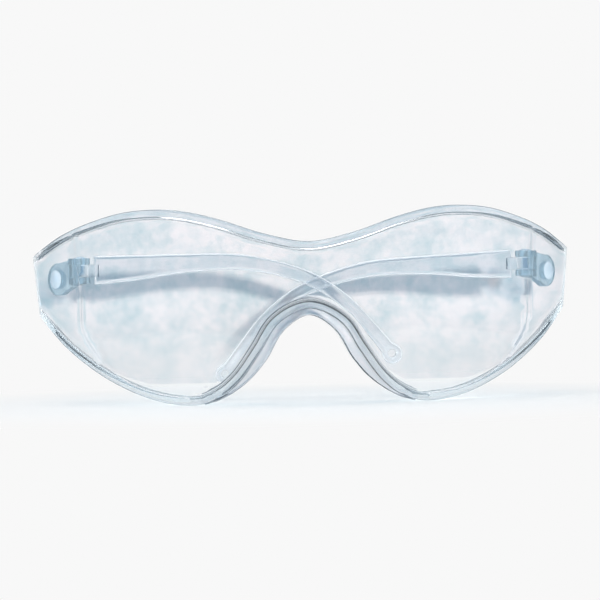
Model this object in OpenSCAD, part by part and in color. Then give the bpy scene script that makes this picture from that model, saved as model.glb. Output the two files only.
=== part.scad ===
// Clear wraparound pollen protection glasses, with both temples folded behind the lens.
// +Z is up as worn, the lens faces -Y and the wearer's left side is +X.
// The origin lies under the middle of the visor, at the height of its lowest edge.

/* [Visor] */
// Width over the upper corners of the side ends
visor_w = 156; // [150:1:162]
// Height from the lowest edge of the lobes to the top of the brow
visor_h = 53.4; // [50:0.2:57]
// Radius of the wrap on the front of the optical zone
wrap_r = 97; // [95:1:101]
// Thickness of the optical zone
lens_t = 2.2; // [1.9:0.1:2.6]
// How far the side wings are stepped back from the optical zone
wing_step = 0.5; // [0.3:0.1:0.8]
// Thickness of the rim wall
rim_t = 1.8; // [1.4:0.1:2.2]
// Depth of the rim wall at the bridge, from the front of the lens
rim_depth = 9; // [7:0.5:11]
// Depth of the rim wall behind the lens at the side ends
end_wall = 0.8; // [0.6:0.1:1.4]
// Lean of the side ends away from upright, in degrees
end_lean = 11; // [8:1:14]

/* [Nose pad] */
// Thickness of the pad behind the rim wall
pad_web_t = 1.2; // [0.9:0.1:1.6]
// Thickness of the lip inside the rim wall
pad_lip_t = 0.9; // [0.6:0.1:1.2]
// How far the inner lip reaches along the rim wall
pad_lip_depth = 3; // [2:0.5:4]

/* [Hinges] */
// Distance from the side end's corner to the rivet, along the wing
rivet_inset = 11.2; // [10:0.1:12.5]
// Height of the middle of each hinge
hinge_z = 37.4; // [35:0.1:39]
// Thickness of the bracket plate at its rivet
plate_t = 2; // [1.8:0.1:2.4]
// Radius of the round end of the bracket plate
plate_r = 4.6; // [4.2:0.1:5]
// Distance from the rivet to the hinge pin along the wing
pin_run = 6; // [5.8:0.1:6.5]
// Distance from the wing's inside to the hinge pin
pin_out = 3.8; // [3.7:0.1:4.3]
// How far the rivet lies below the middle of the hinge
rivet_drop = 2.2; // [1.7:0.1:2.6]
// Radius of the bracket's ears and the temple's eye
knuckle_r = 2.4; // [2.2:0.1:2.6]
// Height over both ears
hinge_h = 7.2; // [6.8:0.1:8]
// Radius of the hinge pin
pin_r = 0.9; // [0.7:0.1:1.1]
// Overhang and height of the hinge pin's heads
pin_head = 0.5; // [0.3:0.1:0.7]
// Radius of the rivet's shank
rivet_r = 1.1; // [0.9:0.1:1.3]
// Radius of the rivet's heads
rivet_head_r = 2.6; // [2.2:0.1:2.8]
// Height of the rivet's heads
rivet_head_h = 0.9; // [0.6:0.1:1.1]

/* [Temples] */
// Thickness of the temples
temple_t = 2.2; // [1.8:0.1:2.4]
// Height of each temple where it leaves the hinge
temple_h = 8.2; // [7:0.1:9]
// Height of each temple's eye
eye_h = 3.5; // [3:0.1:3.8]
// Distance from the hinge pin to the full-height part of the temple
root_run = 3.6; // [3.5:0.1:4.2]
// Length of the heel that stops the temple when it is open
heel_run = 2.4; // [2:0.1:2.5]
// Distance from the hinge pin to the middle of the round tip, along the temple
temple_reach = 86.3; // [80:0.1:91]
// How far the middle of the tip lies below the hinge
tip_drop = 27.6; // [24:0.2:30]
// Radius of the round tip
tip_r = 2.9; // [2.6:0.1:3.4]
// Radius of the cord hole in the tip
cord_hole_r = 1.1; // [0.8:0.1:1.3]
// Angle by which the left temple folds less, and the right one more, so that they pass
fold_split = 1.3; // [1.2:0.1:2]
// Angle by which the left temple droops and the right one rises on its loose pin
droop = 1.7; // [0:0.1:3]

/* [Fits] */
// Gap round the hinge pin in the temple's eye
pin_play = 0.05; // [0.03:0.01:0.08]
// Gap round a pin or rivet in a hole that it fills
fixed_play = 0.02; // [0.01:0.01:0.04]
// Gap above and below the temple's eye
eye_play = 0.1; // [0.08:0.01:0.2]
// Gap round the temple's eye in the bracket plate
swing_gap = 0.3; // [0.25:0.05:0.4]
// By how much the heel reaches less far from the pin than the wing's inside lies
heel_gap = 0.7; // [0.6:0.1:0.9]

/* [Hidden] */
$fn = 96;

clear_plastic = [0.84, 0.90, 0.95];
soft_plastic = [0.78, 0.86, 0.91];
hinge_plastic = [0.62, 0.74, 0.82];

// Straight pieces between two points of a curve
steps = 4;
// How far a cutting body runs past what it cuts
past = 2;
// How far from its middle the bracket plate's flanks end in its round end, as a share of its radius
flank_share = 0.96;

wing_r = wrap_r - wing_step;
lens_back_r = wrap_r - lens_t;
corner_angle = asin(visor_w / 2 / wing_r);
bracket_angle = corner_angle - rivet_inset / lens_back_r * 180 / PI;

visor_depth = wrap_r - lens_back_r * cos(corner_angle) + end_wall;
front_y = -visor_depth / 2;
wrap_y = front_y + wrap_r;

// The back of the rim wall is a rounder curve than the lens. It meets the back plane just inside the ends.
rim_end_x = 0.923 * visor_w / 2;
rim_rise = visor_depth - rim_depth;
rim_back_r = (pow(rim_end_x, 2) + pow(rim_rise, 2)) / (2 * rim_rise);
rim_back_y = front_y + rim_depth + rim_back_r;

// Right half of the brow, from the bridge outwards past the side end
brow = [[0, 43.8], [12, 46.1], [24, 50.2], [34, 52.7], [43, 53.4], [53, 52.5], [66, 48.7], [74, 44.6], [82, 38.8]];
// Right half of the lower edge, from the side end inwards over the lobe to the top of the nose arch
lower = [[79, 28.5], [75, 23.5], [67, 15.1], [56, 7.3], [44, 1.9], [33, 0], [25, 1.8], [18.8, 6.7], [13.3, 14.4],
    [8.3, 21.9], [0, 25.7]];
// Right half of the crease between the optical zone and the side wing, from above the brow down to the lobe
crease = [[65, 56], [64.8, 47], [64, 38], [62.9, 30], [62.7, 21.6], [60.2, 16.2], [55.5, 10.5], [49.3, 6.2],
    [42, 3.4], [33, 2]];
// Right half of the nose pad's free edge, from the lobe to the top of the nose arch
pad_edge = [[30, 0.3], [24.5, 1.4], [17.4, 5.8], [11.8, 12], [7, 19.8], [0, 23.9]];
// Where the pad's blank closes behind the nose wall, from low on the lobe to above the arch
pad_back = [[25, 9], [14, 32]];

// Middle line and height of the temple, as distance from the hinge pin, height above it and height of the arm
temple_line = [[3.6, 0, 8.2], [14.5, 0.2, 7.2], [27.4, 0.8, 5.5], [41.2, 0.7, 4.7], [49.2, -0.4, 4.3],
    [57.1, -2.5, 4], [65, -5.8, 3.9], [73.4, -11.9, 3.8], [80.9, -20.5, 3.8], [86.3, -27.6, 4.2]];

// Upper corner of the side end on the visor as drawn above, which is then stretched to its width and height
end_corner = [78, 41.6];
drawn_w = 2 * end_corner[0];
drawn_h = max([for (p = brow) p[1]]);
corner_z = end_corner[1] * visor_h / drawn_h;

function reflected(a, b) = [for (i = [0 : len(a) - 1]) 2 * a[i] - b[i]];

// Point at share t of the stretch from b to c of the smooth curve through a, b, c and d
function spline(a, b, c, d, t) =
    ((2 * b) + (c - a) * t + (2 * a - 5 * b + 4 * c - d) * pow(t, 2) + (3 * b - a - 3 * c + d) * pow(t, 3)) / 2;

// Smooth curve through every point of a list, straight at its free ends
function curve(p) =
    let (n = len(p), q = concat([reflected(p[0], p[1])], p, [reflected(p[n - 1], p[n - 2])]))
    concat([for (i = [1 : n - 1], k = [0 : steps - 1]) spline(q[i - 1], q[i], q[i + 1], q[i + 2], k / steps)],
        [p[n - 1]]);

function back_to_front(p) = [for (i = [len(p) - 1 : -1 : 0]) p[i]];
function other_side(p) = [for (q = back_to_front(p)) [-q[0], q[1]]];
function sized(p) = [for (q = p) [q[0] * visor_w / drawn_w, q[1] * visor_h / drawn_h]];

// Smooth curve over both halves of a line that crosses the middle at its first point
function arch(half) = curve(sized(concat(other_side([for (i = [1 : len(half) - 1]) half[i]]), half)));

visor_edge = concat(arch(brow), back_to_front(arch(back_to_front(lower))));
optic_edge = concat(curve(sized(crease)), other_side(curve(sized(crease))));
pad_blank = concat(arch(back_to_front(pad_edge)), sized(concat(pad_back, other_side(pad_back))));

function unit(v) = v / norm(v);
function turned(v) = [v[1], -v[0]];

// A closed clockwise outline moved inwards by d, with its corners kept sharp
function inset(p, d) =
    let (n = len(p))
    [for (i = [0 : n - 1])
        let (
            a = turned(unit(p[i] - p[(i + n - 1) % n])),
            b = turned(unit(p[(i + 1) % n] - p[i]))
        )
        p[i] + (a + b) * d / (1 + a * b)];

// Prism of an outline in the front view, from just before the lens to the back of the side ends
module through(outline) {
    translate([0, visor_depth / 2, 0])
        rotate([90, 0, 0])
            linear_extrude(visor_depth + past)
                polygon(outline);
}

module upright_tube(y, outer_r, inner_r) {
    translate([0, y, -past])
        difference() {
            cylinder(r = outer_r, h = visor_h + 2 * past);
            translate([0, 0, -past])
                cylinder(r = inner_r, h = visor_h + 4 * past);
        }
}

// Space between the lens and a curve that lies behind the rim wall's back by the given distance
module behind_lens(front_r, past_rim) {
    difference() {
        translate([0, wrap_y, -past])
            cylinder(r = front_r, h = visor_h + 2 * past);
        translate([0, rim_back_y, -2 * past])
            cylinder(r = rim_back_r - past_rim, h = visor_h + 4 * past);
    }
}

// Left side as modelled, or mirrored to the right side
module on_side(side) {
    mirror([side < 0 ? 1 : 0, 0, 0])
        children();
}

// Frame on the inside of a wing at an angle round the wrap: X runs outwards along the wing, Y away from it
module on_wing(angle) {
    translate([0, wrap_y, 0])
        rotate([0, 0, angle])
            translate([0, -lens_back_r, 0])
                children();
}

module lens_sheet() {
    intersection() {
        through(visor_edge);
        union() {
            upright_tube(wrap_y, wing_r, lens_back_r);
            intersection() {
                upright_tube(wrap_y, wrap_r, lens_back_r);
                through(optic_edge);
            }
        }
    }
}

module rim_wall() {
    intersection() {
        difference() {
            through(visor_edge);
            through(inset(visor_edge, rim_t));
        }
        behind_lens(lens_back_r + lens_t / 2, 0);
    }
}

// What lies past a side end, which is cut square to the lens along a leaning line
module past_end() {
    on_wing(corner_angle)
        translate([0, 0, corner_z])
            rotate([0, end_lean, 0])
                translate([0, -lens_t * 2, -visor_h])
                    cube([visor_w, visor_depth, visor_h * 2]);
}

module rivet_hole() {
    on_wing(bracket_angle)
        translate([0, plate_t + past, hinge_z - rivet_drop])
            rotate([90, 0, 0])
                cylinder(r = rivet_r + fixed_play, h = lens_t + plate_t + 2 * past);
}

module visor() {
    color(clear_plastic)
        difference() {
            union() {
                lens_sheet();
                rim_wall();
            }
            for (side = [-1, 1])
                on_side(side) {
                    past_end();
                    rivet_hole();
                }
        }
}

// The pad's outer lip fills the space from the visor's nose edge to the pad's own edge. Its web covers the back
// of the rim wall, and a thin lip holds on inside the wall.
module nose_pad() {
    color(soft_plastic) {
        intersection() {
            difference() {
                through(pad_blank);
                through(visor_edge);
            }
            behind_lens(lens_back_r, pad_web_t);
        }
        intersection() {
            difference() {
                through(pad_blank);
                through(inset(visor_edge, rim_t + pad_lip_t));
            }
            upright_tube(rim_back_y, rim_back_r, rim_back_r - pad_web_t);
        }
        intersection() {
            through(pad_blank);
            difference() {
                through(inset(visor_edge, rim_t));
                through(inset(visor_edge, rim_t + pad_lip_t));
            }
            upright_tube(rim_back_y, rim_back_r + pad_lip_depth, rim_back_r - pad_web_t);
        }
    }
}

// Corner of the bracket plate at the ears: way is 1 for the upper corner and -1 for the lower one
function ear_corner(way) = [-pin_run - knuckle_r, way * hinge_h / 2];

// End of the flank from that corner, just inside the plate's round end where it would only touch it
function flank_end(way) =
    let (
        run = ear_corner(way) + [0, rivet_drop],
        angle = atan2(run[1], run[0]) - way * acos(plate_r / norm(run))
    )
    [plate_r * flank_share * cos(angle), plate_r * flank_share * sin(angle) - rivet_drop];

// Teardrop outline of the bracket plate: a round end at the rivet and straight flanks to the ears
module plate_outline() {
    translate([0, -rivet_drop])
        circle(r = plate_r);
    polygon([ear_corner(-1), ear_corner(1), flank_end(1), [0, -rivet_drop], flank_end(-1)]);
}

module bracket_plate() {
    intersection() {
        translate([0, plate_t, hinge_z])
            rotate([90, 0, 0])
                linear_extrude(plate_t + past)
                    plate_outline();
        translate([0, lens_back_r, 0])
            cylinder(r = lens_back_r, h = visor_h, $fn = 360);
    }
}

// Upright ears above and below the gap for the temple's eye
module ears(gap_h) {
    ear_h = (hinge_h - gap_h) / 2;
    for (foot = [-hinge_h / 2, gap_h / 2])
        translate([-pin_run, pin_out, hinge_z + foot]) {
            cylinder(r = knuckle_r, h = ear_h);
            translate([-knuckle_r, plate_t / 2 - pin_out, 0])
                cube([2 * knuckle_r, pin_out - plate_t / 2, ear_h]);
        }
}

module hinge_bracket(side) {
    gap_h = eye_h + 2 * eye_play;
    color(hinge_plastic)
        on_side(side)
            difference() {
                on_wing(bracket_angle)
                    difference() {
                        union() {
                            bracket_plate();
                            ears(gap_h);
                        }
                        translate([-pin_run, pin_out, hinge_z - gap_h / 2])
                            cylinder(r = knuckle_r + swing_gap, h = gap_h);
                        translate([-pin_run, pin_out, hinge_z - hinge_h])
                            cylinder(r = pin_r + fixed_play, h = 2 * hinge_h);
                    }
                rivet_hole();
            }
}

// Low domed head that stands on z = 0
module dome(r, h) {
    ball_r = (pow(r, 2) + pow(h, 2)) / (2 * h);
    intersection() {
        translate([0, 0, h - ball_r])
            sphere(r = ball_r);
        cylinder(r = r + past, h = h + past);
    }
}

module bracket_rivet(side) {
    wing_t = lens_t - wing_step;
    color(hinge_plastic)
        on_side(side)
            on_wing(bracket_angle)
                translate([0, -wing_t, hinge_z - rivet_drop])
                    rotate([-90, 0, 0]) {
                        cylinder(r = rivet_r, h = wing_t + plate_t);
                        mirror([0, 0, 1])
                            dome(rivet_head_r, rivet_head_h);
                        translate([0, 0, wing_t + plate_t])
                            dome(rivet_head_r, rivet_head_h);
                    }
}

module hinge_pin(side) {
    color(hinge_plastic)
        on_side(side)
            on_wing(bracket_angle)
                translate([-pin_run, pin_out, hinge_z - hinge_h / 2]) {
                    cylinder(r = pin_r, h = hinge_h);
                    mirror([0, 0, 1])
                        dome(pin_r + pin_head, pin_head);
                    translate([0, 0, hinge_h])
                        dome(pin_r + pin_head, pin_head);
                }
}

// Row of the temple's line, stretched to its reach, drop and height
function temple_row(q) =
    let (
        first = temple_line[0],
        last = temple_line[len(temple_line) - 1],
        along = (q[0] - first[0]) / (last[0] - first[0])
    )
    [root_run + along * (temple_reach - root_run), -q[1] * tip_drop / last[1], q[2] * temple_h / first[2]];

temple_rows = curve([for (q = temple_line) temple_row(q)]);

// Edge of the temple at one side of its middle line: 1 is the upper edge and -1 the lower one
function temple_edge(way) =
    let (n = len(temple_rows))
    [for (i = [0 : n - 1])
        let (
            here = temple_rows[i],
            run = temple_rows[min(i + 1, n - 1)] - temple_rows[max(i - 1, 0)],
            up = i == 0 ? [0, 1] : unit([-run[1], run[0]])
        )
        [here[0], here[1]] + way * up * here[2] / 2];

// Side view of the arm extruded to its thickness, with the hinge pin's axis at the origin
module temple_arm() {
    translate([0, temple_t / 2, 0])
        rotate([90, 0, 0])
            linear_extrude(temple_t)
                difference() {
                    union() {
                        polygon(concat(temple_edge(1), back_to_front(temple_edge(-1))));
                        translate([temple_reach, -tip_drop])
                            circle(r = tip_r);
                    }
                    translate([temple_reach, -tip_drop])
                        circle(r = cord_hole_r);
                }
}

// Eye, neck and the heel that meets the bracket plate when the temple is open
module temple_knuckle() {
    heel_out = pin_out - heel_gap;
    translate([0, 0, -eye_h / 2])
        difference() {
            union() {
                cylinder(r = knuckle_r, h = eye_h);
                translate([0, -temple_t / 2, 0])
                    cube([root_run + 2, temple_t, eye_h]);
                translate([root_run - heel_run, -heel_out, 0])
                    cube([heel_run + 1, heel_out, eye_h]);
            }
            translate([0, 0, -past])
                cylinder(r = pin_r + pin_play, h = eye_h + 2 * past);
        }
}

module temple(side) {
    pin_x = (lens_back_r - pin_out) * sin(bracket_angle) - pin_run * cos(bracket_angle);
    pin_y = wrap_y - (lens_back_r - pin_out) * cos(bracket_angle) - pin_run * sin(bracket_angle);
    color(clear_plastic)
        on_side(side)
            translate([pin_x, pin_y, hinge_z])
                rotate([0, 0, 180 - side * fold_split]) {
                    temple_knuckle();
                    rotate([0, side * droop, 0])
                        temple_arm();
                }
}

visor();
nose_pad();
hinge_bracket(1);  // hinge_bracket_left
hinge_bracket(-1);  // hinge_bracket_right
bracket_rivet(1);  // bracket_rivet_left
bracket_rivet(-1);  // bracket_rivet_right
hinge_pin(1);  // hinge_pin_left
hinge_pin(-1);  // hinge_pin_right
temple(1);  // temple_left
temple(-1);  // temple_right
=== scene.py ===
"""Clear wraparound pollen protection glasses, with both temples folded behind the lens."""
import math

import bmesh
import bpy
import numpy as np
from mathutils import Matrix, Vector
from mathutils.geometry import delaunay_2d_cdt


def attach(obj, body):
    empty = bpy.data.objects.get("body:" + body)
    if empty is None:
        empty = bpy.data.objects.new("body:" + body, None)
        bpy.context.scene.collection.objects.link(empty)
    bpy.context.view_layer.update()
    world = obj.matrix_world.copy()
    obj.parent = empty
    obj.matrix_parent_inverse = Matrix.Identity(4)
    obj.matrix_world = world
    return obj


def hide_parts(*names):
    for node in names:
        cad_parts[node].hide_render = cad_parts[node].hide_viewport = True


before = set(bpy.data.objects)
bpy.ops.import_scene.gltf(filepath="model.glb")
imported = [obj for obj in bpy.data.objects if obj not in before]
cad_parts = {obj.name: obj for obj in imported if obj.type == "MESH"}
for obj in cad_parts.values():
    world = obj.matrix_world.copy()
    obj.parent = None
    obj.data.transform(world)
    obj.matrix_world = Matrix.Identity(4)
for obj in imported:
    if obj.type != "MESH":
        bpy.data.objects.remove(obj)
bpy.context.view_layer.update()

# Camera. It looks level at the front of the glasses from a little towards the wearer's right, and it is
# rolled by one degree, so that the wearer's left side sits higher in the picture. Lengths are in millimetres,
# times MM where Blender takes metres, except where a comment says metres.
MM = 0.001
IMAGE_PIXELS = 600
SENSOR_WIDTH = 36
NEAREST_SEEN = 10
CAMERA_DISTANCE = 471
CAMERA_SIDE = math.radians(-2.7)
CAMERA_ROLL = math.radians(1.1)
AIM_HEIGHT = 28
AIM_PIXEL_X = 306
PIXELS_PER_MM = 3.567

camera_data = bpy.data.cameras.new("camera")
camera_data.sensor_width = SENSOR_WIDTH
camera_data.lens = camera_data.sensor_width * PIXELS_PER_MM * CAMERA_DISTANCE / IMAGE_PIXELS
camera_data.shift_x = (IMAGE_PIXELS / 2 - AIM_PIXEL_X) / IMAGE_PIXELS
camera_data.clip_start = NEAREST_SEEN * MM
camera = bpy.data.objects.new("camera", camera_data)
camera.matrix_world = (
    Matrix.Translation((0, 0, AIM_HEIGHT * MM))
    @ Matrix.Rotation(CAMERA_SIDE, 4, "Z")
    @ Matrix.Translation((0, -CAMERA_DISTANCE * MM, 0))
    @ Matrix.Rotation(math.pi / 2, 4, "X")
    @ Matrix.Rotation(-CAMERA_ROLL, 4, "Z")
)
bpy.context.scene.collection.objects.link(camera)
bpy.context.scene.camera = camera
bpy.context.scene.view_settings.view_transform = "Standard"


# Room. A plain studio whose pale background shows straight through the clear plastic. What the plastic
# mirrors is a dimmer room, grey below, dark blue at its sides and pale overhead, and this draws the edges.
def to_linear(hex_code):
    """An sRGB hex colour as the linear colour that the nodes take."""
    parts = [int(hex_code[i:i + 2], 16) / 255 for i in (1, 3, 5)]
    return tuple(((p + 0.055) / 1.055) ** 2.4 for p in parts) + (1.0,)


def add_node(tree, kind, inputs=None, **settings):
    """A new node with its settings, and with each input given a value or linked to a socket."""
    made = tree.nodes.new(kind)
    for name, value in settings.items():
        setattr(made, name, value)
    for name, value in (inputs or {}).items():
        if isinstance(value, bpy.types.NodeSocket):
            tree.links.new(value, made.inputs[name])
        else:
            made.inputs[name].default_value = value
    return made


# The glossy depth counts mirrorings, so that a ray below half of one has had none
HALF_A_MIRRORING = 0.5


def seen_straight(tree):
    """1 for a ray from the camera, also through clear plastic if it isn't mirrored on its way, else 0."""
    path = add_node(tree, "ShaderNodeLightPath")
    unmirrored = add_node(
        tree, "ShaderNodeMath", {0: path.outputs["Glossy Depth"], 1: HALF_A_MIRRORING}, operation="LESS_THAN"
    )
    through = add_node(
        tree, "ShaderNodeMath", {0: path.outputs["Is Transmission Ray"], 1: unmirrored.outputs[0]},
        operation="MULTIPLY",
    )
    return add_node(
        tree, "ShaderNodeMath", {0: path.outputs["Is Camera Ray"], 1: through.outputs[0]}, operation="MAXIMUM"
    ).outputs[0]


# The room's colours, and where each is reached between straight down at 0 and straight up at 1
PALE = to_linear("#f8f8f8")
ROOM_LOW = to_linear("#465a64")
ROOM_SIDE = to_linear("#27465c")
ROOM_HIGH = to_linear("#a9b3ba")
ROOM_LOW_AT = 0.3
ROOM_SIDE_AT = 0.5
ROOM_HIGH_AT = 0.85

world = bpy.data.worlds.new("studio")
world.use_nodes = True
tree = world.node_tree
tree.nodes.clear()
direction = add_node(tree, "ShaderNodeTexCoord")
height = add_node(tree, "ShaderNodeSeparateXYZ", {0: direction.outputs["Generated"]})
height_share = add_node(tree, "ShaderNodeMapRange", {"Value": height.outputs["Z"], "From Min": -1.0})
room = add_node(tree, "ShaderNodeValToRGB", {"Fac": height_share.outputs["Result"]})
room.color_ramp.elements[0].color = ROOM_LOW
room.color_ramp.elements[0].position = ROOM_LOW_AT
room.color_ramp.elements[1].color = ROOM_HIGH
room.color_ramp.elements[1].position = ROOM_HIGH_AT
room.color_ramp.elements.new(ROOM_SIDE_AT).color = ROOM_SIDE
seen = add_node(tree, "ShaderNodeMix", {"Factor": seen_straight(tree)}, data_type="RGBA")
tree.links.new(room.outputs["Color"], seen.inputs["A"])
seen.inputs["B"].default_value = PALE
sky = add_node(tree, "ShaderNodeBackground", {"Color": seen.outputs[2]})
add_node(tree, "ShaderNodeOutputWorld", {"Surface": sky.outputs[0]})
bpy.context.scene.world = world


# Lamps. A small lamp beside the camera, a little above it, throws the temples' shadows back on the card. A
# softbox above and beside the camera gives the highlights, and a wide one overhead lights the floor.
def add_softbox(name, place, size, watts, mirrored=True):
    """Lamp that faces the middle of the glasses. Its place and size are in metres."""
    data = bpy.data.lights.new(name, "AREA")
    data.shape = "RECTANGLE"
    data.size, data.size_y = size
    data.energy = watts
    lamp = bpy.data.objects.new(name, data)
    lamp.location = place
    lamp.visible_glossy = mirrored
    lamp.visible_transmission = mirrored
    towards_glasses = Vector((0, 0, AIM_HEIGHT * MM)) - Vector(place)
    lamp.rotation_euler = towards_glasses.to_track_quat("-Z", "Y").to_euler()
    bpy.context.scene.collection.objects.link(lamp)


add_softbox("camera_lamp", place=(0.022, -0.47, 0.057), size=(0.012, 0.012), watts=2.25, mirrored=False)
add_softbox("front_softbox", place=(0.12, -0.95, 0.62), size=(0.45, 0.3), watts=1.2)
add_softbox("overhead_softbox", place=(-0.15, 0.05, 0.95), size=(0.7, 0.5), watts=4.7)


# Floor. Matt pale laminate, a hair under the glasses, which takes their shadow. Round an oval near them it
# fades into the plain pale background.
FLOOR_HALF = 900
FLOOR_DROP = 0.05
FLOOR_NEAR = 30
FLOOR_FAR = 100
FLOOR_OVAL = (0.7, 1, 1)
ONE_FACE = [(0, 1, 2, 3)]

floor_mesh = bpy.data.meshes.new("floor")
corner = FLOOR_HALF * MM
floor_mesh.from_pydata(
    [(-corner, -corner, 0), (corner, -corner, 0), (corner, corner, 0), (-corner, corner, 0)], [], ONE_FACE
)
floor = bpy.data.objects.new("floor", floor_mesh)
floor.location.z = -FLOOR_DROP * MM
bpy.context.scene.collection.objects.link(floor)

laminate = bpy.data.materials.new("matt_pale_laminate")
laminate.use_nodes = True
tree = laminate.node_tree
tree.nodes.clear()
place = add_node(tree, "ShaderNodeTexCoord")
oval = add_node(
    tree, "ShaderNodeVectorMath", {0: place.outputs["Object"], 1: FLOOR_OVAL}, operation="MULTIPLY"
)
away = add_node(tree, "ShaderNodeVectorMath", {0: oval.outputs[0]}, operation="LENGTH")
far = add_node(
    tree, "ShaderNodeMapRange",
    {"Value": away.outputs["Value"], "From Min": FLOOR_NEAR * MM, "From Max": FLOOR_FAR * MM},
    interpolation_type="SMOOTHSTEP",
)
matt = add_node(tree, "ShaderNodeBsdfDiffuse", {"Color": to_linear("#f3f2f1")})
plain = add_node(tree, "ShaderNodeEmission", {"Color": PALE})
far_and_seen = add_node(
    tree, "ShaderNodeMath", {0: far.outputs["Result"], 1: seen_straight(tree)}, operation="MULTIPLY"
)
blend = add_node(
    tree, "ShaderNodeMixShader", {"Fac": far_and_seen.outputs[0], 1: matt.outputs[0], 2: plain.outputs[0]}
)
add_node(tree, "ShaderNodeOutputMaterial", {"Surface": blend.outputs[0]})
floor_mesh.materials.append(laminate)


# Card. A sheet of pale board behind the reach of the open temples, mottled in clouds, and glowing evenly at
# its base. It shows only where it is looked at straight through clear plastic, and there it carries the
# shadows of the temples.
CARD_Y = 112
CARD_WIDTH = 420
CARD_HEIGHT = 260
CARD_BASE_LOW = 2
CARD_BASE_HIGH = 30
CLOUD_MM = 9
CLOUD_DETAIL = 8.0
CLOUD_ROUGHNESS = 0.7
CLOUD_DARK_AT = 0.3
CLOUD_PALE_AT = 0.6
BASE_MOTTLE = 0.5

card_mesh = bpy.data.meshes.new("card")
card_side = CARD_WIDTH / 2 * MM
card_y = CARD_Y * MM
card_top = CARD_HEIGHT * MM
card_corners = [(-card_side, 0), (card_side, 0), (card_side, card_top), (-card_side, card_top)]
card_mesh.from_pydata([(x, card_y, z) for x, z in card_corners], [], ONE_FACE)
card = bpy.data.objects.new("card", card_mesh)
card.visible_camera = False
card.visible_diffuse = False
card.visible_glossy = False
card.visible_shadow = False
bpy.context.scene.collection.objects.link(card)

board = bpy.data.materials.new("matt_pale_board")
board.use_nodes = True
tree = board.node_tree
tree.nodes.clear()
place = add_node(tree, "ShaderNodeTexCoord")
cloud = add_node(
    tree, "ShaderNodeTexNoise",
    {"Vector": place.outputs["Object"], "Scale": 1 / (CLOUD_MM * MM), "Detail": CLOUD_DETAIL,
     "Roughness": CLOUD_ROUGHNESS},
)
tone = add_node(tree, "ShaderNodeValToRGB", {"Fac": cloud.outputs["Fac"]})
tone.color_ramp.elements[0].color = to_linear("#c0d0d4")
tone.color_ramp.elements[0].position = CLOUD_DARK_AT
tone.color_ramp.elements[1].color = to_linear("#f4ebea")
tone.color_ramp.elements[1].position = CLOUD_PALE_AT
height = add_node(tree, "ShaderNodeSeparateXYZ", {"Vector": place.outputs["Object"]})
above = add_node(
    tree, "ShaderNodeMapRange",
    {"Value": height.outputs["Z"], "From Min": CARD_BASE_LOW * MM, "From Max": CARD_BASE_HIGH * MM},
    interpolation_type="SMOOTHSTEP",
)
matt = add_node(tree, "ShaderNodeBsdfDiffuse", {"Color": tone.outputs["Color"]})
base_tone = add_node(tree, "ShaderNodeMix", {"Factor": BASE_MOTTLE}, data_type="RGBA")
base_tone.inputs["A"].default_value = to_linear("#e2e9ef")
tree.links.new(tone.outputs["Color"], base_tone.inputs["B"])
base_glow = add_node(tree, "ShaderNodeEmission", {"Color": base_tone.outputs[2]})
graded = add_node(
    tree, "ShaderNodeMixShader", {"Fac": above.outputs["Result"], 1: base_glow.outputs[0], 2: matt.outputs[0]}
)
open_air = add_node(tree, "ShaderNodeBsdfTransparent")
blend = add_node(
    tree, "ShaderNodeMixShader", {"Fac": seen_straight(tree), 1: open_air.outputs[0], 2: graded.outputs[0]}
)
add_node(tree, "ShaderNodeOutputMaterial", {"Surface": blend.outputs[0]})
card_mesh.materials.append(board)


# Flag. A felt on the floor in front of the card, blue-black along its middle and nearly white at its sides.
# It keeps the floor's light off the card, so that the shadows there aren't washed out, and what mirrors its
# middle turns dark. It is clear from below and to a straight look, which shows the floor.
FLAG_RISE = -0.02
FLAG_FRONT = -300
FELT_BLACK_HALF = 18
FELT_PALE_HALF = 34
flag_mesh = bpy.data.meshes.new("flag")
front_y = FLAG_FRONT * MM
flag_corners = [(-card_side, front_y), (card_side, front_y), (card_side, card_y), (-card_side, card_y)]
flag_mesh.from_pydata([(x, y, FLAG_RISE * MM) for x, y in flag_corners], [], ONE_FACE)
flag = bpy.data.objects.new("flag", flag_mesh)
flag.visible_camera = False
flag.visible_shadow = False
bpy.context.scene.collection.objects.link(flag)

felt = bpy.data.materials.new("black_felt")
felt.use_nodes = True
tree = felt.node_tree
tree.nodes.clear()
facing = add_node(tree, "ShaderNodeNewGeometry")
place = add_node(tree, "ShaderNodeTexCoord")
across = add_node(tree, "ShaderNodeSeparateXYZ", {"Vector": place.outputs["Object"]})
outwards = add_node(tree, "ShaderNodeMath", {0: across.outputs["X"]}, operation="ABSOLUTE")
faded = add_node(
    tree, "ShaderNodeMapRange",
    {"Value": outwards.outputs[0], "From Min": FELT_BLACK_HALF * MM, "From Max": FELT_PALE_HALF * MM},
)
felt_tone = add_node(tree, "ShaderNodeMix", {"Factor": faded.outputs["Result"]}, data_type="RGBA")
felt_tone.inputs["A"].default_value = to_linear("#0c1c2c")
felt_tone.inputs["B"].default_value = to_linear("#e8eef2")
matt_felt = add_node(tree, "ShaderNodeBsdfDiffuse", {"Color": felt_tone.outputs[2]})
open_air = add_node(tree, "ShaderNodeBsdfTransparent")
not_shown = add_node(
    tree, "ShaderNodeMath", {0: facing.outputs["Backfacing"], 1: seen_straight(tree)}, operation="MAXIMUM"
)
blend = add_node(
    tree, "ShaderNodeMixShader",
    {"Fac": not_shown.outputs[0], 1: matt_felt.outputs[0], 2: open_air.outputs[0]},
)
add_node(tree, "ShaderNodeOutputMaterial", {"Surface": blend.outputs[0]})
flag_mesh.materials.append(felt)


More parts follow.
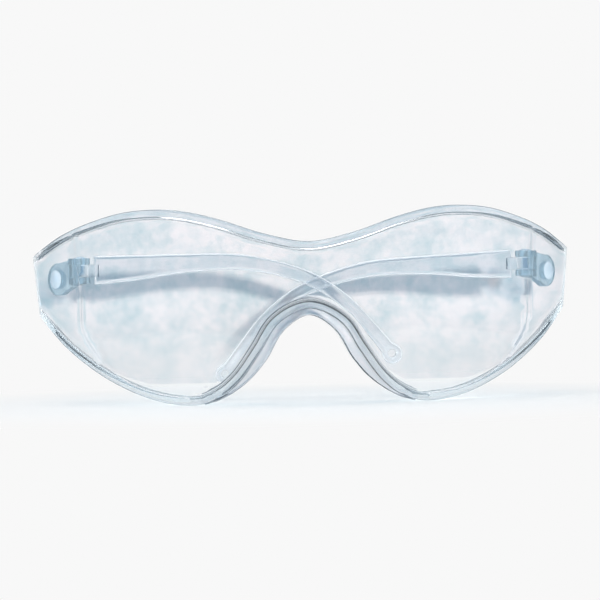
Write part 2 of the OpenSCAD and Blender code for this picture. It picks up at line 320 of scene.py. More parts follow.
# Visor. One injection moulded sheet of clear polycarbonate, curved round the face, with side wings stepped
# back from the optical zone and a rim wall that runs backwards along the brow, the lobes and the nose arch.
# Its two side ends are sawn off. The outlines are (across, up), for the wearer's left half.
VISOR_W = 156
WRAP_R = 97
LENS_T = 2.2
WING_STEP = 0.5
RIM_T = 1.8
RIM_DEPTH = 9
END_LEAN = math.radians(11)
END_WALL = 0.8
END_CORNER_Z = 41.6
CREASE_HALF = 0.15
CREASE_ROOM = 0.5
EDGE_ROUND = 0.45
WALL_FILLET = 1.1
# The rim wall's back edge reaches the visor's full depth at this share of its half width
RIM_END_SHARE = 0.923
# The flat faces start this many roundings in from their corner
FLAT_START = 2
# The brow's top is 0.01 mm under the solid's, so that its finer curve stays inside the solid's box
BROW = [
    (0, 43.8), (12, 46.1), (24, 50.2), (34, 52.7), (43, 53.39), (53, 52.5), (66, 48.7), (74, 44.6),
    (82, 38.8),
]
PAST_END = [(84.5, 33.4)]
LOWER = [
    (79, 28.5), (75, 23.5), (67, 15.1), (56, 7.3), (44, 1.9), (33, 0), (25, 1.8), (18.8, 6.7), (13.3, 14.4),
    (8.3, 21.9), (0, 25.7),
]
CREASE = [
    (65, 56), (64.8, 47), (64, 38), (62.9, 30), (62.7, 21.6), (60.2, 16.2), (55.5, 10.5), (49.3, 6.2),
    (42, 3.4), (33, 2),
]

WING_R = WRAP_R - WING_STEP
LENS_BACK_R = WRAP_R - LENS_T
CORNER_ANGLE = math.asin(VISOR_W / 2 / WING_R)
VISOR_DEPTH = WRAP_R - LENS_BACK_R * math.cos(CORNER_ANGLE) + END_WALL
FRONT_Y = -VISOR_DEPTH / 2
WRAP_Y = FRONT_Y + WRAP_R
RIM_END_X = RIM_END_SHARE * VISOR_W / 2
RIM_RISE = VISOR_DEPTH - RIM_DEPTH
RIM_BACK_R = (RIM_END_X ** 2 + RIM_RISE ** 2) / (2 * RIM_RISE)
RIM_BACK_Y = FRONT_Y + RIM_DEPTH + RIM_BACK_R

# Straight pieces between two points of an outline, and how many points a closed one repeats to join smoothly
STEPS = 8
OVERLAP = 3

# Anything shorter counts as no length
TINY = 1e-9


def smooth_curve(points, steps):
    """Smooth curve through every point, straight at its free ends."""
    points = [np.array(p, float) for p in points]
    padded = [2 * points[0] - points[1]] + points + [2 * points[-1] - points[-2]]
    curve = []
    for i in range(1, len(points)):
        a, b, c, d = padded[i - 1:i + 3]
        for t in np.arange(steps) / steps:
            bend = (2 * a - 5 * b + 4 * c - d) * t ** 2
            twist = (3 * b - a - 3 * c + d) * t ** 3
            curve.append((2 * b + (c - a) * t + bend + twist) / 2)
    return np.array(curve + [points[-1]])


def mirrored(points):
    """The other half of an outline, in the order that goes on from its last point."""
    return [(-x, z) for x, z in reversed(points)]


def unit_rows(vectors):
    """Each vector at a length of one."""
    return vectors / np.linalg.norm(vectors, axis=1)[:, None]


def inward_of(outline):
    """Direction into the material at each point of a clockwise closed outline."""
    ahead = unit_rows(np.roll(outline, -1, 0) - outline)
    behind = unit_rows(outline - np.roll(outline, 1, 0))
    along = unit_rows(ahead + behind)
    return np.stack([along[:, 1], -along[:, 0]], 1)


def inside(points, outline):
    """Which points lie inside a closed outline."""
    x, z = points[:, 0][:, None], points[:, 1][:, None]
    ax, az = outline[:, 0][None], outline[:, 1][None]
    bx, bz = np.roll(outline, -1, 0)[:, 0][None], np.roll(outline, -1, 0)[:, 1][None]
    spans = (az > z) != (bz > z)
    crossing = ax + (z - az) * (bx - ax) / np.where(bz == az, TINY, bz - az)
    return ((spans & (x < crossing)).sum(1) % 2).astype(bool)


def distance_to(points, line):
    """Distance from each point to a closed line."""
    a = line[None]
    run = (np.roll(line, -1, 0) - line)[None]
    share = ((points[:, None] - a) * run).sum(2) / np.maximum((run ** 2).sum(2), TINY)
    nearest = a + np.clip(share, 0, 1)[..., None] * run
    return np.linalg.norm(points[:, None] - nearest, axis=2).min(1)


left_half = BROW + PAST_END + LOWER
whole_edge = left_half + mirrored(left_half[1:-1])
visor_outline = smooth_curve(whole_edge[-OVERLAP:] + whole_edge + whole_edge[:OVERLAP], STEPS)
visor_outline = visor_outline[OVERLAP * STEPS:-OVERLAP * STEPS + STEPS - 1]
crease_line = smooth_curve(CREASE, STEPS)
optic_outline = np.concatenate([crease_line, np.array(mirrored(crease_line))])


def lens_front(points):
    """Depth of the lens's front, with the wings stepped back past the crease."""
    past_crease = distance_to(points, optic_outline) * np.where(inside(points, optic_outline), -1, 1)
    stepped = np.clip(0.5 + past_crease / (2 * CREASE_HALF), 0, 1)
    return WRAP_Y - np.sqrt((WRAP_R - WING_STEP * stepped) ** 2 - points[:, 0] ** 2)


def lens_back(points):
    """Depth of the lens's back, which is one plain curve."""
    return WRAP_Y - np.sqrt(LENS_BACK_R ** 2 - points[:, 0] ** 2)


def rim_back(points):
    """Depth of the rim wall's back edge, which runs out towards the side ends."""
    return np.minimum(RIM_BACK_Y - np.sqrt(RIM_BACK_R ** 2 - points[:, 0] ** 2), -FRONT_Y)


def rounded(corners, radii, segments=4, most=0.45):
    """An open line of corners with the middle ones rounded, each over no more than a share of its sides."""
    line = [corners[0]]
    for i, radius in enumerate(radii, 1):
        before = corners[i - 1] - corners[i]
        after = corners[i + 1] - corners[i]
        before_length, after_length = np.linalg.norm(before), np.linalg.norm(after)
        reach = min(radius, most * before_length, most * after_length)
        start = corners[i] + before / before_length * reach
        end = corners[i] + after / after_length * reach
        for t in np.arange(segments + 1) / segments:
            line.append(start * (1 - t) ** 2 + corners[i] * 2 * t * (1 - t) + end * t ** 2)
    return np.array(line + [corners[-1]])


def swept(outline, inward, corner_sets, radii):
    """Rounded sections along an outline. A corner is its distance inwards from the outline, and its depth."""
    rings = []
    for point, normal, corners in zip(outline, inward, corner_sets):
        line = rounded(corners, radii)
        flat = point + normal * line[:, :1]
        rings.append(np.stack([flat[:, 0], line[:, 1], flat[:, 1]], 1))
    return np.array(rings)


def add_strip(mesh, rings, closed=True):
    """Quads between neighbouring sections."""
    rows = [[mesh.verts.new(Vector(p) * MM) for p in ring] for ring in rings]
    last = len(rows) if closed else len(rows) - 1
    for i in range(last):
        here, there = rows[i], rows[(i + 1) % len(rows)]
        for k in range(len(here) - 1):
            mesh.faces.new((here[k], here[k + 1], there[k + 1], there[k]))


def add_fill(mesh, edge, depth_of, holes=(), lines=(), spacing=1.6, clearance=0.55, weld=1e-5):
    """Triangles over the area inside an edge, at the depth that a function gives. The grid points between
    keep a share of their spacing clear of the edge, the holes and the lines."""
    loops = [edge, *holes]
    fixed = np.concatenate(loops + [np.asarray(line) for line in lines])
    links = []
    start = 0
    for loop in loops:
        links += [(start + i, start + (i + 1) % len(loop)) for i in range(len(loop))]
        start += len(loop)
    for line in lines:
        links += [(start + i, start + i + 1) for i in range(len(line) - 1)]
        start += len(line)
    low, high = edge.min(0), edge.max(0)
    across, up = np.meshgrid(np.arange(low[0], high[0], spacing), np.arange(low[1], high[1], spacing))
    grid = np.stack([across.ravel(), up.ravel()], 1)
    grid = grid[inside(grid, edge)]
    near = np.linalg.norm(grid[:, None] - fixed[None], axis=2).min(1)
    points = np.concatenate([fixed, grid[near > clearance * spacing]])
    found = delaunay_2d_cdt([Vector(p) for p in points], links, [], 0, weld)
    flat = np.array([tuple(v) for v in found[0]])
    triangles = np.array(found[2])
    middles = flat[triangles].mean(1)
    kept = inside(middles, edge)
    for hole in holes:
        kept &= ~inside(middles, hole)
    depths = depth_of(flat)
    verts = [mesh.verts.new(Vector((p[0], y, p[1])) * MM) for p, y in zip(flat, depths)]
    for triangle in triangles[kept]:
        mesh.faces.new([verts[i] for i in triangle])


# How close two points of a mesh lie where they are one, and where a cut has left them double
WELD = 0.002
WELD_AFTER_CUT = 0.003
SHARP_ANGLE = 40


def finished(name, mesh):
    """Object from a closed mesh, smooth but for its sharp edges."""
    bmesh.ops.remove_doubles(mesh, verts=mesh.verts, dist=WELD * MM)
    loose = [v for v in mesh.verts if not v.link_faces]
    bmesh.ops.delete(mesh, geom=loose, context="VERTS")
    bmesh.ops.recalc_face_normals(mesh, faces=mesh.faces)
    if mesh.calc_volume(signed=True) < 0:
        bmesh.ops.reverse_faces(mesh, faces=mesh.faces)
    data = bpy.data.meshes.new(name)
    mesh.to_mesh(data)
    mesh.free()
    piece = bpy.data.objects.new(name, data)
    bpy.context.scene.collection.objects.link(piece)
    smooth_but_sharp(piece)
    return piece


def smooth_but_sharp(piece, sharp_angle=SHARP_ANGLE):
    """Smooth shading, but for edges over an angle in degrees."""
    piece.data.polygons.foreach_set("use_smooth", [True] * len(piece.data.polygons))
    piece.data.set_sharp_from_angle(angle=math.radians(sharp_angle))


def cut_off(mesh, place, outward, snap=1e-7, on_plane=1e-6):
    """Removes what lies past a plane, and closes the cut. The last two values are distances in metres."""
    everything = mesh.verts[:] + mesh.edges[:] + mesh.faces[:]
    bmesh.ops.bisect_plane(
        mesh, geom=everything, plane_co=place, plane_no=outward, dist=snap, clear_outer=True
    )
    rim = [
        e for e in mesh.edges
        if e.is_boundary and all(abs((v.co - place).dot(outward)) < on_plane for v in e.verts)
    ]
    bmesh.ops.triangle_fill(mesh, use_beauty=True, edges=rim)


def apply_modifiers(piece):
    """Keeps what the modifiers make as the piece's own mesh."""
    graph = bpy.context.evaluated_depsgraph_get()
    shaped = bpy.data.meshes.new_from_object(piece.evaluated_get(graph))
    piece.modifiers.clear()
    piece.data = shaped


def combine(piece, other, operation):
    """Cuts the other body out of the piece, or joins it on, and removes the other."""
    step = piece.modifiers.new("combine", "BOOLEAN")
    step.operation = operation
    step.solver = "EXACT"
    step.object = other
    apply_modifiers(piece)
    bpy.data.objects.remove(other)
    mesh = bmesh.new()
    mesh.from_mesh(piece.data)
    bmesh.ops.remove_doubles(mesh, verts=mesh.verts, dist=WELD_AFTER_CUT * MM)
    mesh.to_mesh(piece.data)
    mesh.free()


def add_block(name, low, high, matrix):
    """Plain block between two corners, used only to build other pieces."""
    mesh = bmesh.new()
    bmesh.ops.create_cube(mesh, size=1)
    for v in mesh.verts:
        v.co = Vector(low[k] + (v.co[k] + 0.5) * (high[k] - low[k]) for k in range(3)) * MM
    mesh.transform(matrix)
    return finished(name, mesh)


def turned(name, profile, matrix, segments=48):
    """Body turned round its Z axis from (radius, height) points that start and end on the axis."""
    mesh = bmesh.new()
    for i in range(segments):
        angle = 2 * math.pi * i / segments
        beyond = 2 * math.pi * (i + 1) / segments
        ring = [Vector((r * math.cos(angle), r * math.sin(angle), h)) * MM for r, h in profile]
        other = [Vector((r * math.cos(beyond), r * math.sin(beyond), h)) * MM for r, h in profile]
        for k in range(len(profile) - 1):
            corners = [ring[k], ring[k + 1], other[k + 1], other[k]]
            kept = [c for n, c in enumerate(corners) if all((c - d).length > TINY for d in corners[:n])]
            if len(kept) > 2:
                mesh.faces.new([mesh.verts.new(c) for c in kept])
    mesh.transform(matrix)
    return finished(name, mesh)


def shifted(x, y, z):
    """A move in millimetres."""
    return Matrix.Translation(Vector((x, y, z)) * MM)


def on_side(side):
    """The wearer's left side as built, or its mirror image."""
    return Matrix.Scale(side, 4, (1, 0, 0))


def on_wing(angle):
    """Frame on the inside of a wing: X runs outwards along the wing and Y away from it."""
    return shifted(0, WRAP_Y, 0) @ Matrix.Rotation(angle, 4, "Z") @ shifted(0, -LENS_BACK_R, 0)


inward = inward_of(visor_outline)


def wall_corners():
    """Section from the lens's front round the rim wall to the lens's back, for each point of the outline."""
    places = [
        (EDGE_ROUND * FLAT_START, lens_front), (0, lens_front), (0, rim_back),
        (RIM_T, rim_back), (RIM_T, lens_back), (RIM_T + WALL_FILLET * FLAT_START, lens_back),
    ]
    columns = []
    for inset, depth_of in places:
        at = visor_outline + inward * inset
        columns.append(np.stack([np.full(len(at), float(inset)), depth_of(at)], 1))
    return np.stack(columns, 1)


mesh = bmesh.new()
rings = swept(visor_outline, inward, wall_corners(), [EDGE_ROUND, EDGE_ROUND, EDGE_ROUND, WALL_FILLET])
add_strip(mesh, rings)
front_edge = rings[:, 0][:, [0, 2]]
back_edge = rings[:, -1][:, [0, 2]]
crease_lines = []
for offset in (-CREASE_HALF, 0, CREASE_HALF):
    for way in (1, -1):
        line = crease_line + offset * unit_rows(np.gradient(crease_line, axis=0))[:, ::-1] * (1, -1)
        line = line * (way, 1)
        room_left = inside(line, front_edge) & (distance_to(line, front_edge) > CREASE_ROOM)
        crease_lines.append(line[room_left])
add_fill(mesh, front_edge, lens_front, lines=crease_lines)
add_fill(mesh, back_edge, lens_back)
bmesh.ops.remove_doubles(mesh, verts=mesh.verts, dist=WELD * MM)
for side in (1, -1):
    end_corner = on_side(side) @ on_wing(CORNER_ANGLE) @ shifted(0, 0, END_CORNER_Z)
    end = end_corner @ Matrix.Rotation(END_LEAN, 4, "Y")
    cut_off(mesh, end.to_translation(), end.to_3x3() @ Vector((1, 0, 0)))
visor = finished("clear_visor", mesh)
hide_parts("visor")
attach(visor, "front")


# The noise that stands for the flow in a mould, the values that it runs between, and how many times its mean
# roughness a plastic has at each of the two
FLOW_DETAIL = 2.0
FLOW_ROUGHNESS = 0.45
FLOW_RANGE = (0.3, 0.7)
HAZE_RANGE = (0.6, 1.5)

# Keeps the colour that plastic absorbs most a little above black
DENSITY_MARGIN = 1.02


def clear_plastic(name, face, tint, deep, roughness, ior, shade, wave_mm, wave_height, clear):
    """Clear moulded plastic. The face is the colour of light that crosses a surface, the tint is what a depth
    of plastic leaves of white light, and the shade is what each of its faces lets through of a lamp's light.
    What isn't clear is scattered at the surface. Depths and waves are in millimetres."""
    material = bpy.data.materials.new(name)
    material.use_nodes = True
    tree = material.node_tree
    tree.nodes.clear()
    place = add_node(tree, "ShaderNodeTexCoord")
    flow = add_node(
        tree, "ShaderNodeTexNoise",
        {"Vector": place.outputs["Object"], "Scale": 1 / (wave_mm * MM), "Detail": FLOW_DETAIL,
         "Roughness": FLOW_ROUGHNESS},
    )
    wave = add_node(
        tree, "ShaderNodeBump", {"Height": flow.outputs["Fac"], "Distance": wave_height * MM, "Strength": 1.0}
    )
    haze = add_node(
        tree, "ShaderNodeMapRange",
        {"Value": flow.outputs["Fac"], "From Min": FLOW_RANGE[0], "From Max": FLOW_RANGE[1],
         "To Min": roughness * HAZE_RANGE[0], "To Max": roughness * HAZE_RANGE[1]},
    )
    plastic = add_node(
        tree, "ShaderNodeBsdfPrincipled",
        {"Base Color": to_linear(face), "Transmission Weight": clear, "IOR": ior,
         "Roughness": haze.outputs["Result"], "Normal": wave.outputs["Normal"]},
    )
    lets_through = add_node(tree, "ShaderNodeBsdfTransparent", {"Color": to_linear(shade)})
    path = add_node(tree, "ShaderNodeLightPath")
    surface = add_node(
        tree, "ShaderNodeMixShader",
        {"Fac": path.outputs["Is Shadow Ray"], 1: plastic.outputs[0], 2: lets_through.outputs[0]},
    )
    lost = [-math.log(c) / (deep * MM) for c in to_linear(tint)[:3]]
    density = max(lost) * DENSITY_MARGIN
    body = add_node(
        tree, "ShaderNodeVolumeAbsorption",
        {"Color": tuple(1 - c / density for c in lost) + (1.0,), "Density": density},
    )
    add_node(tree, "ShaderNodeOutputMaterial", {"Surface": surface.outputs[0], "Volume": body.outputs[0]})
    return material


def vary_clear(tree, measure, from_measures, to_shares):
    """Makes the clear share of a plastic follow a value that is measured at each point of its surface."""
    share = add_node(
        tree, "ShaderNodeMapRange",
        {"Value": measure, "From Min": from_measures[0], "From Max": from_measures[1],
         "To Min": to_shares[0], "To Max": to_shares[1]},
    )
    tree.links.new(share.outputs["Result"], tree.nodes["Principled BSDF"].inputs["Transmission Weight"])


# Clear polycarbonate from a polished mould: sharp gloss, a faint cool cast that deepens along the walls, and
# the very slight waves of its flow. A little light is scattered on all of it. The side ends are sawn, so they
# scatter most of it and turn pale: these are the faces whose direction is like that of the cuts.
VISOR_CLEAR = 0.97
SAWN_CLEAR = 0.3
SAWN_LIKENESS = (0.93, 0.97)
SAWN_FACING = (on_wing(CORNER_ANGLE) @ Matrix.Rotation(END_LEAN, 4, "Y")).to_3x3() @ Vector((1, 0, 0))

visor_plastic = clear_plastic(
    "polished_polycarbonate", face="#fcfcfc", tint="#f9fbfc", deep=2.2, roughness=0.02, ior=1.585,
    shade="#fdfefe", wave_mm=9, wave_height=0.004, clear=VISOR_CLEAR,
)
tree = visor_plastic.node_tree
place = add_node(tree, "ShaderNodeTexCoord")
where = add_node(tree, "ShaderNodeSeparateXYZ", {"Vector": place.outputs["Object"]})
side_sign = add_node(tree, "ShaderNodeMath", {0: where.outputs["X"]}, operation="SIGN")
to_left = add_node(tree, "ShaderNodeCombineXYZ", {"X": side_sign.outputs[0], "Y": 1.0, "Z": 1.0})
as_left = add_node(
    tree, "ShaderNodeVectorMath", {0: place.outputs["Normal"], 1: to_left.outputs[0]}, operation="MULTIPLY"
)
likeness = add_node(
    tree, "ShaderNodeVectorMath", {0: as_left.outputs[0], 1: SAWN_FACING}, operation="DOT_PRODUCT"
)
from_either_side = add_node(tree, "ShaderNodeMath", {0: likeness.outputs["Value"]}, operation="ABSOLUTE")
vary_clear(tree, from_either_side.outputs[0], SAWN_LIKENESS, (VISOR_CLEAR, SAWN_CLEAR))
visor.data.materials.clear()
visor.data.materials.append(visor_plastic)


# Nose pad. A soft clear vinyl edging, pressed over the wall of the nose arch by hand. Its outer lip stands
# out past the visor's own edge and its thin inner lip holds on inside the wall.
PAD_WEB_T = 1.2
PAD_LIP_T = 0.9
PAD_LIP_DEPTH = 3
PAD_LEAST_OUT = 0.35
PAD_FIT = 0.03
PAD_ROUND = 0.45
PAD_BACK_ROUND = 1.4 * PAD_ROUND
PAD_LIP_ROUND = 0.8 * PAD_ROUND
PAD_GROOVE_ROUND = 0.02
PAD_STEPS = 12
# It is pressed on where the visor's edge lies within this half width and under this height
PAD_REACH = 29.5
PAD_BELOW = 30
PAD_EDGE = [(30, 0.3), (24.5, 1.4), (17.4, 5.8), (11.8, 12), (7, 19.8), (0, 23.9)]

pad_line = smooth_curve(PAD_EDGE + mirrored(PAD_EDGE[:-1]), PAD_STEPS)
nose = [i for i, (x, z) in enumerate(visor_outline) if abs(x) < PAD_REACH and z < PAD_BELOW]
nose_line = visor_outline[nose]
nose_inward = inward[nose]
lip_out = np.linalg.norm(nose_line[:, None] - pad_line[None], axis=2).min(1)
pad_sets = []
for point, normal, out in zip(nose_line, nose_inward, np.maximum(lip_out, PAD_LEAST_OUT)):
    # How far inwards of the visor's edge, which surface of the visor, and how far behind it
    places = [
        (-PAD_FIT, lens_back, PAD_FIT), (-out, lens_back, PAD_FIT), (-out, rim_back, PAD_WEB_T),
        (RIM_T + PAD_LIP_T, rim_back, PAD_WEB_T), (RIM_T + PAD_LIP_T, rim_back, -PAD_LIP_DEPTH),
        (RIM_T + PAD_FIT, rim_back, -PAD_LIP_DEPTH), (RIM_T + PAD_FIT, rim_back, PAD_FIT),
        (-PAD_FIT, rim_back, PAD_FIT), (-PAD_FIT, lens_back, PAD_FIT),
    ]
    corners = []
    for inset, depth_of, past in places:
        depth = depth_of((point + normal * inset)[None])[0]
        corners.append((inset, depth + past))
    pad_sets.append(np.array(corners))
pad_radii = [
    PAD_ROUND, PAD_ROUND, PAD_BACK_ROUND, PAD_LIP_ROUND, PAD_LIP_ROUND, PAD_GROOVE_ROUND, PAD_GROOVE_ROUND,
]
rings = swept(nose_line, nose_inward, pad_sets, pad_radii)
mesh = bmesh.new()
add_strip(mesh, rings, closed=False)
for ring in (rings[0], rings[-1]):
    mesh.faces.new([mesh.verts.new(Vector(p) * MM) for p in ring[:-1]])
nose_pad = finished("soft_nose_pad", mesh)
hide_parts("nose_pad")
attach(nose_pad, "front")

# Soft clear vinyl with a satin skin, a little rougher and more wavy than the visor, so that it looks softer
nose_pad.data.materials.append(
    clear_plastic(
        "soft_clear_vinyl", face="#fcfdfe", tint="#fbfcfd", deep=2.5, roughness=0.04, ior=1.53,
        shade="#f4f8fa", wave_mm=2.5, wave_height=0.01, clear=1.0,
    )
)


# Hinge brackets. A teardrop plate of clear polycarbonate behind each wing, moulded in one with two upright
# ears that hold the pin. Its edges are rounded by the mould, and it is riveted through the wing.
PLATE_T = 2
HINGE_Z = 37.4
RIVET_DROP = 2.2
RIVET_INSET = 11.2
PIN_RUN = 6
PIN_OUT = 3.8
HINGE_H = 7.2
BRACKET_ROUND = 0.35
BRACKET_WELD = 0.001
BRACKET_SMOOTH_ANGLE = 50
FLAT_ANGLE = 1
BRACKET_ANGLE = CORNER_ANGLE - RIVET_INSET / LENS_BACK_R

# Clear polycarbonate from a satin mould. It is thick and full of edges, so that it shows as a cloudy blue.
bracket_plastic = clear_plastic(
    "satin_moulded_polycarbonate", face="#d7e6ed", tint="#ecf3f6", deep=2, roughness=0.1, ior=1.585,
    shade="#eaf2f6", wave_mm=1.5, wave_height=0.02, clear=0.8,
)


def softened(node, name, width, segments=3):
    """Copy of a solid with its edges rounded."""
    piece = bpy.data.objects.new(name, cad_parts[node].data.copy())
    bpy.context.scene.collection.objects.link(piece)
    mesh = bmesh.new()
    mesh.from_mesh(piece.data)
    bmesh.ops.remove_doubles(mesh, verts=mesh.verts, dist=BRACKET_WELD * MM)
    bmesh.ops.dissolve_limit(
        mesh, angle_limit=math.radians(FLAT_ANGLE), use_dissolve_boundaries=False, verts=mesh.verts,
        edges=mesh.edges,
    )
    mesh.to_mesh(piece.data)
    mesh.free()
    step = piece.modifiers.new("round", "BEVEL")
    step.width = width * MM
    step.segments = segments
    step.limit_method = "ANGLE"
    step.angle_limit = math.radians(SHARP_ANGLE)
    step.harden_normals = False
    apply_modifiers(piece)
    smooth_but_sharp(piece, BRACKET_SMOOTH_ANGLE)
    piece.data.materials.clear()
    return piece


for side_name in ("left", "right"):
    bracket = softened("hinge_bracket_" + side_name, "moulded_bracket_" + side_name, BRACKET_ROUND)
    bracket.data.materials.append(bracket_plastic)
    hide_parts("hinge_bracket_" + side_name)
    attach(bracket, "front")


# Bracket rivets. Clear polycarbonate rivets with low domed heads, pushed through the wing and the bracket and
# headed with heat on the inside.
RIVET_R = 1.1
RIVET_HEAD_R = 2.6
RIVET_HEAD_H = 0.9
WING_T = LENS_T - WING_STEP

# Clear polycarbonate, headed with heat: smooth but clouded, so that the heads catch the light as pale spots.
rivet_plastic = clear_plastic(
    "headed_rivet_polycarbonate", face="#eaf2f8", tint="#f4f9fc", deep=2, roughness=0.12, ior=1.585,
    shade="#eaf2f6", wave_mm=2, wave_height=0.004, clear=0.6,
)


def dome(radius, height, start, way, steps=8):
    """Half profile of a low domed head, from its rim to its top."""
    ball = (radius ** 2 + height ** 2) / (2 * height)
    spread = math.asin(radius / ball)
    angles = [spread * (1 - k / steps) for k in range(steps + 1)]
    return [(ball * math.sin(a), start + way * (height - ball + ball * math.cos(a))) for a in angles]


for side, side_name in ((1, "left"), (-1, "right")):
    place = (
        on_side(side) @ on_wing(BRACKET_ANGLE) @ shifted(0, -WING_T, HINGE_Z - RIVET_DROP)
        @ Matrix.Rotation(-math.pi / 2, 4, "X")
    )
    grip = WING_T + PLATE_T
    profile = dome(RIVET_HEAD_R, RIVET_HEAD_H, 0, -1)[::-1] + [(RIVET_R, 0), (RIVET_R, grip)]
    rivet = turned("domed_rivet_" + side_name, profile + dome(RIVET_HEAD_R, RIVET_HEAD_H, grip, 1), place)
    rivet.data.materials.append(rivet_plastic)
    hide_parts("bracket_rivet_" + side_name)
    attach(rivet, "front")


# Hinge pins. Short upright pins of the same clear polycarbonate, pushed through the ears and the temple's
# eye, and headed above and below the ears with heat.
PIN_R = 0.9
PIN_HEAD = 0.5

for side, side_name in ((1, "left"), (-1, "right")):
    place = on_side(side) @ on_wing(BRACKET_ANGLE) @ shifted(-PIN_RUN, PIN_OUT, HINGE_Z - HINGE_H / 2)
    profile = dome(PIN_R + PIN_HEAD, PIN_HEAD, 0, -1)[::-1] + [(PIN_R, 0), (PIN_R, HINGE_H)]
    profile += dome(PIN_R + PIN_HEAD, PIN_HEAD, HINGE_H, 1)
    pin = turned("hinge_pin_shaft_" + side_name, profile, place)
    pin.data.materials.append(rivet_plastic)
    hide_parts("hinge_pin_" + side_name)
    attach(pin, "front")


# Temples. Flat clear polycarbonate arms, moulded with rounded edges, deep at the hinge and slender at the ear
# bend, with a round tip that has a hole for a neck cord, and an eye and stop heel at the hinge.
TEMPLE_T = 2.2
TEMPLE_REACH = 86.3
TIP_DROP = 27.6
TIP_R = 2.9
CORD_HOLE_R = 1.1
ROOT_RUN = 3.6
EYE_H = 3.5
EYE_BEVEL = 0.3
KNUCKLE_R = 2.4
PIN_PLAY = 0.05
# The neck joins the eye to the arm, and the heel beside it stops the opening. Both run into the arm, and
# their faces lie a little inside the ones they meet, so that no two are in one plane.
NECK_START = 0.3
NECK_OVERLAP = 2
NECK_THINNER = 0.05
NECK_LOWER = 0.03
HEEL_GAP = 0.7
HEEL_RUN = 2.4
HEEL_OVERLAP = 1
HEEL_PAST = 0.2
HEEL_LOWER = 0.06
# The folded arms lie twice the first angle apart, so that one passes behind the other, and both droop
FOLD_SPLIT = math.radians(1.3)
DROOP = math.radians(1.7)
TEMPLE_ROUND = 0.8
HOLE_ROUND = 0.25
# The flat faces of an arm start this many roundings in from its edges
FACE_START = 1.6
FACE_SPACING = 2.5
TEMPLE_STEPS = 10
ARC_POINTS = 40
# Middle line of a temple from its pin: how far along, how high, and how broad it is there
TEMPLE_LINE = [
    (ROOT_RUN, 0, 8.2), (14.5, 0.2, 7.2), (27.4, 0.8, 5.5), (41.2, 0.7, 4.7), (49.2, -0.4, 4.3),
    (57.1, -2.5, 4), (65, -5.8, 3.9), (73.4, -11.9, 3.8), (80.9, -20.5, 3.8), (TEMPLE_REACH, -TIP_DROP, 4.2),
]

rows = smooth_curve(TEMPLE_LINE, TEMPLE_STEPS)
upward = unit_rows(np.gradient(rows[:, :2], axis=0))[:, ::-1] * (-1, 1)
upward[0] = (0, 1)
top_edge = rows[:, :2] + upward * rows[:, 2:] / 2
low_edge = rows[:, :2] - upward * rows[:, 2:] / 2
tip = np.array((TEMPLE_REACH, -TIP_DROP))
top_edge = top_edge[np.linalg.norm(top_edge - tip, axis=1) > TIP_R]
low_edge = low_edge[np.linalg.norm(low_edge - tip, axis=1) > TIP_R]
first = math.atan2(*(top_edge[-1] - tip)[::-1])
last = math.atan2(*(low_edge[-1] - tip)[::-1]) - 2 * math.pi


def round_tip(radius, angles):
    """Points at a radius round the middle of the tip."""
    return np.array([tip + radius * np.array((math.cos(a), math.sin(a))) for a in angles])


tip_arc = round_tip(TIP_R, np.linspace(first, last, ARC_POINTS)[1:-1])
arm_outline = np.concatenate([top_edge, tip_arc, low_edge[::-1]])
hole_outline = round_tip(CORD_HOLE_R, np.arange(ARC_POINTS) * math.pi / (ARC_POINTS / 2))


def rounded_edge(outline, rounding):
    """Sections along an edge of the arm, from one of its faces round to the other."""
    half = TEMPLE_T / 2
    face_start = rounding * FACE_START
    section = np.array([(face_start, -half), (0, -half), (0, half), (face_start, half)])
    return swept(outline, inward_of(outline), [section] * len(outline), [rounding] * 2)


def arm_mesh():
    """A temple's arm with its round tip and the hole in it, lying flat from the pin at the origin."""
    mesh = bmesh.new()
    outer = rounded_edge(arm_outline, TEMPLE_ROUND)
    hole = rounded_edge(hole_outline, HOLE_ROUND)
    add_strip(mesh, outer)
    add_strip(mesh, hole)
    for end, depth in ((0, -TEMPLE_T / 2), (-1, TEMPLE_T / 2)):
        add_fill(
            mesh, outer[:, end][:, [0, 2]], lambda flat, depth=depth: np.full(len(flat), depth),
            holes=[hole[:, end][:, [0, 2]]], spacing=FACE_SPACING,
        )
    return mesh


PIN_X = (LENS_BACK_R - PIN_OUT) * math.sin(BRACKET_ANGLE) - PIN_RUN * math.cos(BRACKET_ANGLE)
PIN_Y = WRAP_Y - (LENS_BACK_R - PIN_OUT) * math.cos(BRACKET_ANGLE) - PIN_RUN * math.sin(BRACKET_ANGLE)

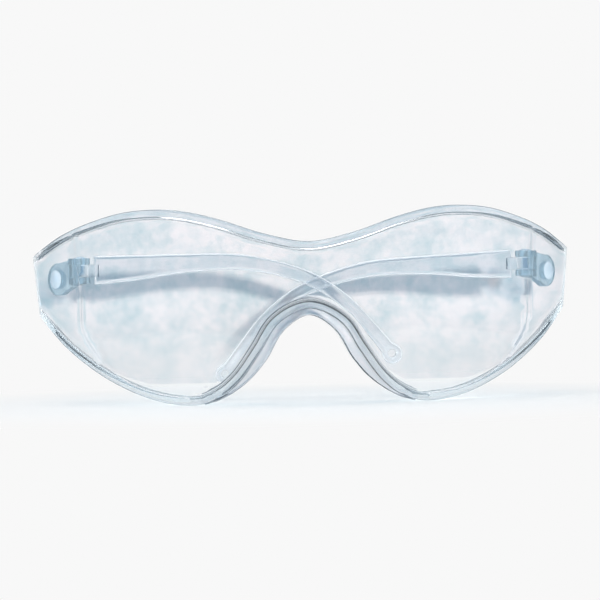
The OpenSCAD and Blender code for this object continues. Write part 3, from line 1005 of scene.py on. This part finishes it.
# Clear polycarbonate again, polished. It lets less of a lamp's light through than the visor, which draws the
# soft blue-grey shadows on the card, and its rounded edges scatter some light and show as pale lines.
EDGE_FLATNESS = (0.85, 0.985)
EDGE_CLEAR = 0.6
temple_plastic = clear_plastic(
    "polished_temple_polycarbonate", face="#fafcfe", tint="#f8fbfd", deep=2.2, roughness=0.03, ior=1.585,
    shade="#6ba3ba", wave_mm=6, wave_height=0.006, clear=1.0,
)
tree = temple_plastic.node_tree
place = add_node(tree, "ShaderNodeTexCoord")
facing = add_node(tree, "ShaderNodeSeparateXYZ", {"Vector": place.outputs["Normal"]})
flatness = add_node(tree, "ShaderNodeMath", {0: facing.outputs["Y"]}, operation="ABSOLUTE")
vary_clear(tree, flatness.outputs[0], EDGE_FLATNESS, (EDGE_CLEAR, 1.0))

for side, side_name in ((1, "left"), (-1, "right")):
    folded = Matrix.Rotation(math.pi - side * FOLD_SPLIT, 4, "Z")
    eye_place = on_side(side) @ shifted(PIN_X, PIN_Y, HINGE_Z) @ folded
    mesh = arm_mesh()
    mesh.transform(eye_place @ Matrix.Rotation(side * DROOP, 4, "Y"))
    temple = finished("folding_temple_" + side_name, mesh)
    half = EYE_H / 2
    neck_side = TEMPLE_T / 2 - NECK_THINNER
    neck_top = half - NECK_LOWER
    neck = add_block(
        "neck", (NECK_START, -neck_side, -neck_top), (ROOT_RUN + NECK_OVERLAP, neck_side, neck_top), eye_place
    )
    heel_out = PIN_OUT - HEEL_GAP
    heel_top = half - HEEL_LOWER
    heel = add_block(
        "heel", (ROOT_RUN - HEEL_RUN, -heel_out, -heel_top), (ROOT_RUN + HEEL_OVERLAP, HEEL_PAST, heel_top),
        eye_place,
    )
    bevel_r = KNUCKLE_R - EYE_BEVEL
    bevel_h = half - EYE_BEVEL
    eye_profile = [
        (0, -half), (bevel_r, -half), (KNUCKLE_R, -bevel_h), (KNUCKLE_R, bevel_h), (bevel_r, half), (0, half),
    ]
    eye = turned("eye", eye_profile, eye_place)
    hole_r = PIN_R + PIN_PLAY
    pin_hole = turned("pin_hole", [(0, -EYE_H), (hole_r, -EYE_H), (hole_r, EYE_H), (0, EYE_H)], eye_place)
    combine(eye, neck, "UNION")
    combine(eye, heel, "UNION")
    combine(eye, pin_hole, "DIFFERENCE")
    combine(temple, eye, "UNION")
    smooth_but_sharp(temple)
    temple.data.materials.clear()
    temple.data.materials.append(temple_plastic)
    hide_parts("temple_" + side_name)
    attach(temple, side_name + "_temple")
